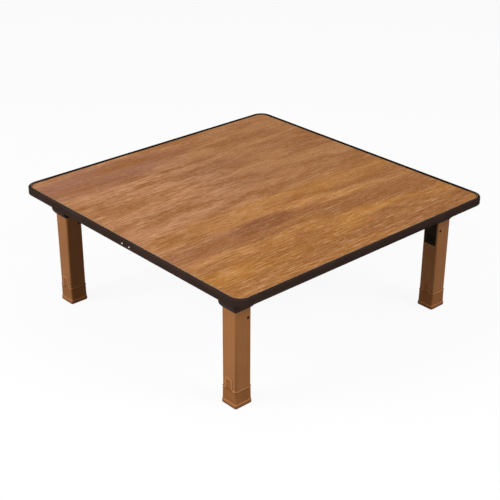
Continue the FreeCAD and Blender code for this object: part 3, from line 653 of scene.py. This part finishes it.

# %% [markdown]
# ## Beads, seams and foot rings of the foot caps
#
# A raised bead follows the upper edge of each foot cap: round the leg, and up and over the tab on two of
# its faces. A dark seam runs below it, another bead runs round the flared rim, and a dark ring runs round
# the foot. They show as a fine light line, a dark line under it and a dark foot: the beads are painted pale
# as a highlight, and the seam and the foot ring are painted dark as shade. Each could be cut into the cap,
# but a section swept along a rounded rectangle is simpler and has a finish of its own. Where the bead
# passes a tab, its points are lifted to the tab's edge: the height is a sum of the distance from the tab's
# middle.

# %% Over the tabs
def lift_over_tabs(form, ring):
    """Lifts the points of a ring up and over the tab on its left and right faces.

    At the tab's side a ring turns upwards through a hollow round, and at its top through a full one.
    """
    half, tab_round, foot_round = form["Tab Wide"] * 0.5, form["Tab Round"], form["Foot Round"]
    margin = 0.0005
    on_face = form.at("X").size() > form["Across"] * 0.5 - margin
    along = form.at("Y").size()
    into_round = (along - half + tab_round).at_least(0.0)
    full = (tab_round.to_power(2.0) - into_round.to_power(2.0)).at_least(0.0).to_power(0.5)
    top = form["Tab Tall"] - tab_round + full
    into_foot = (half + foot_round - along).at_least(0.0)
    hollow = (foot_round.to_power(2.0) - into_foot.to_power(2.0)).at_least(0.0).to_power(0.5)
    foot = foot_round - hollow
    on_tab = half > along
    height = foot + on_tab * (top - foot)
    return form.node("GeometryNodeSetPosition", {}, {
        "Geometry": ring, "Selection": on_face, "Offset": form.vector(0.0, 0.0, height)})


# %% Sweep the lines of the foot caps
def make_cap_lines(name, finish, thick, tall, rings):
    """Sweeps a section round each cap, once for each of its rings.

    A ring is its height, how far it stands proud of the leg and whether it climbs the tabs.
    """
    form = Form(name + "_form", {
        "Across": LEG_ACROSS, "Along": LEG_ALONG, "Corner": 0.004, "Thick": thick, "Tall": tall,
        "Tab Wide": 0.020, "Tab Tall": 0.026, "Tab Round": 0.002, "Foot Round": 0.0035,
        "Spot": (0.0, 0.0, 0.0)})
    section = form.rounded(form["Thick"], form["Tall"], form["Thick"] * 0.45)
    paths = []
    for height, proud, climbs in rings:
        ring = form.rounded(form["Across"] + proud * 2, form["Along"] + proud * 2, form["Corner"] + proud)
        if climbs:
            fine = form.node("GeometryNodeResampleCurve", {"mode": "LENGTH"}, {
                "Curve": ring, "Length": 0.0002})
            ring = lift_over_tabs(form, fine)
        paths.append(form.moved(ring, (0.0, 0.0, height)))
    form.end(form.moved(form.swept(form.joined(*paths), section), form["Spot"]), finish)
    for corner, (x, y) in CORNERS.items():
        form.make(f"{name}_{corner}", f"leg_{corner}", "leg_brown", spot=(x, y, 0.0))


BEAD_HEIGHT = CAP_TOP - 0.0007
SEAM_HEIGHT = CAP_TOP - 0.0026
RIM_HEIGHT = 0.009
FOOT_SHADE_HEIGHT = 0.0011
# The beads' pale finish is a painted highlight; the seam's and the foot ring's dark finishes are painted
# shade
make_cap_lines("cap_beads", bead_highlight_plastic, thick=0.0014, tall=0.0026, rings=[
    (BEAD_HEIGHT, 0.0006, True), (RIM_HEIGHT, 0.0009, False)])
make_cap_lines("cap_seams", seam_shade_plastic, thick=0.0009, tall=0.0011, rings=[(SEAM_HEIGHT, 0.0004, False)])
make_cap_lines("cap_soles", foot_shade_finish, thick=0.0012, tall=0.0022, rings=[(FOOT_SHADE_HEIGHT, 0.0013, False)])

# %% [markdown]
# ## Grip ribs on the latches
#
# A thumb presses the lower part of each latch lever, which is ribbed so that it doesn't slip. The ribs
# are one short round bar, so it is made once and instanced on a line of points.

# %% Lay the grip ribs
def make_ribs():
    form = Form("rib_form", {
        "Wide": 0.026, "Thick": 0.0014, "Apart": 0.003, "Outwards": 0.02175, "Lowest": 0.181,
        "Spot": (0.0, 0.0, 0.0), "Turn": (0.0, 0.0, 0.0)})
    half = form["Wide"] * 0.5
    spine = form.node("GeometryNodeCurvePrimitiveLine", {}, {
        "Start": form.vector(0.0, half * -1.0, 0.0), "End": form.vector(0.0, half, 0.0)})
    rib = form.swept(spine, form.circle(10, form["Thick"] * 0.5))
    rows = form.node("GeometryNodeMeshLine", {}, {
        "Count": 7, "Offset": form.vector(0.0, 0.0, form["Apart"])})
    laid = form.node("GeometryNodeInstanceOnPoints", {}, {"Points": rows, "Instance": rib})
    raised = form.moved(laid, form.vector(form["Outwards"], 0.0, form["Lowest"]))
    form.end(form.moved(raised, form["Spot"], form["Turn"]), latch_plastic)
    for corner, (x, y) in CORNERS.items():
        spot = (x, y, 0.0)
        inwards = (0.0, 0.0, math.pi if x > 0 else 0.0)
        form.make(f"grip_ribs_{corner}", f"latch_{corner}", "latch_plastic", spot=spot, turn=inwards)


make_ribs()

# %% [markdown]
# ## Dark discs of painted shade on the latch pins
#
# Each latch pin shows as a dark dot near the top of its leg, a little wider than the pin, because the
# hole round it lies in shade. A darker finish on the pin alone leaves the dot too small, so a thin disc at
# each end of the pin covers its end and the rim of its hole, with the pin's dark colour as painted shade
# over the rim.

# %% Set the dark discs
def make_pin_shade_discs():
    form = Form("pin_shade_disc_form", {
        "Radius": 0.0033, "Thick": 0.0006, "Apart": LEG_ALONG, "Spot": (0.0, 0.0, 0.0)})
    # Each disc paints shade over the rim of the pin's hole
    disc = form.node("GeometryNodeMeshCylinder", {}, {
        "Vertices": 24, "Radius": form["Radius"], "Depth": form["Thick"]})
    half = form["Apart"] * 0.5
    upright = (math.pi / 2, 0.0, 0.0)
    ends = [form.moved(disc, form.vector(0.0, half * side, 0.0), upright) for side in (1.0, -1.0)]
    form.end(form.moved(form.joined(*ends), form["Spot"]), dark_pin_and_hole_shade)
    for corner in CORNERS:
        spot = middle_of(f"latch_pin_{corner}")
        form.make(f"pin_shade_discs_{corner}", f"leg_{corner}", "latch_plastic", spot=spot)


make_pin_shade_discs()

# %% [markdown]
# ## Finishes on the CAD pieces
#
# Pieces whose solid already has the right shape only change their finish. The record says which slot
# each piece takes its finish from, so one table from slot to material dresses them all. Two kinds of
# piece differ from the rest of their slot: the latch pins are dark and the foot caps a little darker.

# %% Dress the CAD pieces
finishes = {
    "wood_print": wood_print,
    "particle_board": pressed_chips,
    "backing_sheet": backing_sheet,
    "edging_plastic": edging_plastic,
    "seat_plastic": seat_plastic,
    "leg_brown": leg_plastic,
    "latch_plastic": latch_plastic,
    "steel": plated_steel,
    "nail_steel": nail_steel,
}
own_finishes = {"latch_pin": dark_pin_and_hole_shade, "foot_cap": cap_plastic}


def dress(piece, finish):
    """Puts one finish on every slot of a piece, and adds a slot where it has none."""
    for piece_slot in piece.material_slots:
        piece_slot.material = finish
    if not piece.material_slots:
        piece.data.materials.append(finish)


for entry in frame["record"]["subparts"]:
    dress(frame["nodes"][entry["node"]], finishes[entry["material_slot"]])
for kind, finish in own_finishes.items():
    for corner in CORNERS:
        dress(frame["nodes"][f"{kind}_{corner}"], finish)
print("dressed", len(frame["nodes"]), "CAD pieces")

# %% [markdown]
# ## Softened edges
#
# No moulded or sawn edge is perfectly sharp, and the fine round on it is what catches the light. A weld
# closes the seams between the solids' faces, then a narrow bevel rounds only the edges that turn sharply.
# Both are modifiers, so the meshes that came from CAD stay as they are.

# %% Bevel the moulded pieces
SOFT_EDGES = {"leg_tube": 0.0005, "foot_cap": 0.0006, "leg_seat": 0.0008, "latch_lever": 0.0005}


def soften(piece, width):
    weld = piece.modifiers.new("weld", "WELD")
    weld.merge_threshold = 0.00001
    bevel = piece.modifiers.new("soft_edges", "BEVEL")
    bevel.width = width
    bevel.segments = 2
    bevel.limit_method = "ANGLE"
    bevel.angle_limit = math.radians(40)
    bevel.harden_normals = True


for corner in CORNERS:
    for kind, width in SOFT_EDGES.items():
        soften(frame["nodes"][f"{kind}_{corner}"], width)
print("softened", len(CORNERS) * len(SOFT_EDGES), "pieces")

# %% [markdown]
# ## A floor that is white but throws little light
#
# The table stands on a plain white floor that keeps its soft shadow. A floor of white paint would light
# the legs and the underside from below far more than the photograph shows. So a Light Path node gives the
# floor two lives: it glows white to the eye and in reflections, and is dark grey to bounced light.

# %% Floor
def make_floor_finish():
    floor = Finish("studio_floor")
    eye = floor.node("ShaderNodeLightPath", {}, {}, "Is Camera Ray")
    mirror = floor.node("ShaderNodeLightPath", {}, {}, "Is Glossy Ray")
    seen = eye.at_least(mirror)
    floor.set(base_color=floor.blend(seen, paint(44, 42, 41), paint(255, 255, 255)), roughness=0.9)
    glow = floor.node("ShaderNodeEmission", {}, {"Color": (1.0, 1.0, 1.0, 1.0), "Strength": 1.0})
    mixed = floor.node("ShaderNodeMixShader", {}, {
        0: seen * 0.92, 1: Signal(floor, floor.shader.outputs[0]), 2: glow})
    floor.feed(floor.tree.nodes["Material Output"].inputs["Surface"], mixed)
    return floor.material


def lay_floor(half=6.0):
    corners = [(-half, -half, 0), (half, -half, 0), (half, half, 0), (-half, half, 0)]
    mesh = bpy.data.meshes.new("studio_floor")
    mesh.from_pydata(corners, [], [(0, 1, 2, 3)])
    mesh.materials.append(make_floor_finish())
    ground = bpy.data.objects.new("studio_floor", mesh)
    bpy.context.scene.collection.objects.link(ground)
    print("laid a floor of", 2 * half, "metres a side")


lay_floor()

# %% [markdown]
# ## Sky and lamps
#
# The sky is white to the eye and faint as a light, because an even white sky would flatten every form.
# Large soft lamps do the lighting: one from the left and one from the front right for the sides of the
# table, one overhead for the board, and a low one for the legs on the left. A small lamp near the floor
# lights the corner of the front leg.

# %% Sky and lamps
def hang_sky(to_the_eye=1.0, as_light=0.16):
    world = bpy.data.worlds.new("studio_sky")
    bpy.context.scene.world = world
    world.use_nodes = True
    sky = Plan()
    sky.tree = world.node_tree
    eye = sky.node("ShaderNodeLightPath", {}, {}, "Is Camera Ray")
    strength = sky.node("ShaderNodeMapRange", {}, {
        "Value": eye, "To Min": as_light, "To Max": to_the_eye})
    background = sky.tree.nodes["Background"]
    sky.feed(background.inputs["Strength"], strength)
    sky.feed(background.inputs["Color"], (1.0, 1.0, 1.0, 1.0))


def add_lamp(name, place, aim, size, power):
    """A soft square lamp of that size, turned from its place towards its aim."""
    light = bpy.data.lights.new(name, "AREA")
    light.shape = "SQUARE"
    light.size = size
    light.energy = power
    lamp = bpy.data.objects.new(name, light)
    lamp.location = place
    reach = [end - start for start, end in zip(place, aim)]
    flat = math.hypot(reach[0], reach[1])
    lamp.rotation_euler = (math.atan2(flat, -reach[2]), 0.0, math.atan2(-reach[0], reach[1]))
    bpy.context.scene.collection.objects.link(lamp)
    print("lamp", name, "of", power, "watts")


hang_sky()
add_lamp("key_left", place=(-3.0, 1.1, 2.1), aim=(0.0, 0.0, 0.2), size=1.8, power=84.0)
add_lamp("fill_right", place=(1.2, -3.0, 2.1), aim=(0.0, 0.0, 0.2), size=1.8, power=71.0)
add_lamp("front_low", place=(-0.75, -0.75, 0.22), aim=(-0.33, -0.31, 0.15), size=0.35, power=1.0)
add_lamp("overhead", place=(0.2, 0.4, 3.4), aim=(0.0, 0.0, 0.3), size=3.0, power=26.0)
add_lamp("low_left", place=(-3.2, 0.3, 0.35), aim=(0.0, 0.0, 0.15), size=1.2, power=19.0)

# %% [markdown]
# ## Camera
#
# The camera stands where the photograph was taken from. Its place, its turn and its lens could be guessed
# by eye, but they were worked out from the four corners of the board, which is known to be square.

# %% Camera
PHOTO_PIXELS = 500
FOCAL_PIXELS = 1141.4
AZIMUTH, ELEVATION, ROLL = -42.198, 26.628, 0.201
STANDPOINT = (-1.7221, -1.8911, 1.4278)


def add_camera():
    view = bpy.data.cameras.new("photo_view")
    view.sensor_width = 36.0
    view.lens = FOCAL_PIXELS / PHOTO_PIXELS * view.sensor_width
    camera = bpy.data.objects.new("photo_view", view)
    bpy.context.scene.collection.objects.link(camera)
    spin = Matrix.Rotation(math.radians(AZIMUTH), 4, "Z")
    tilt = Matrix.Rotation(math.radians(90 - ELEVATION), 4, "X")
    bank = Matrix.Rotation(math.radians(ROLL), 4, "Z")
    camera.matrix_world = Matrix.Translation(STANDPOINT) @ spin @ tilt @ bank
    bpy.context.scene.camera = camera
    print("camera with a lens of", view.lens, "mm")


add_camera()
bpy.context.scene.view_settings.view_transform = "Standard"
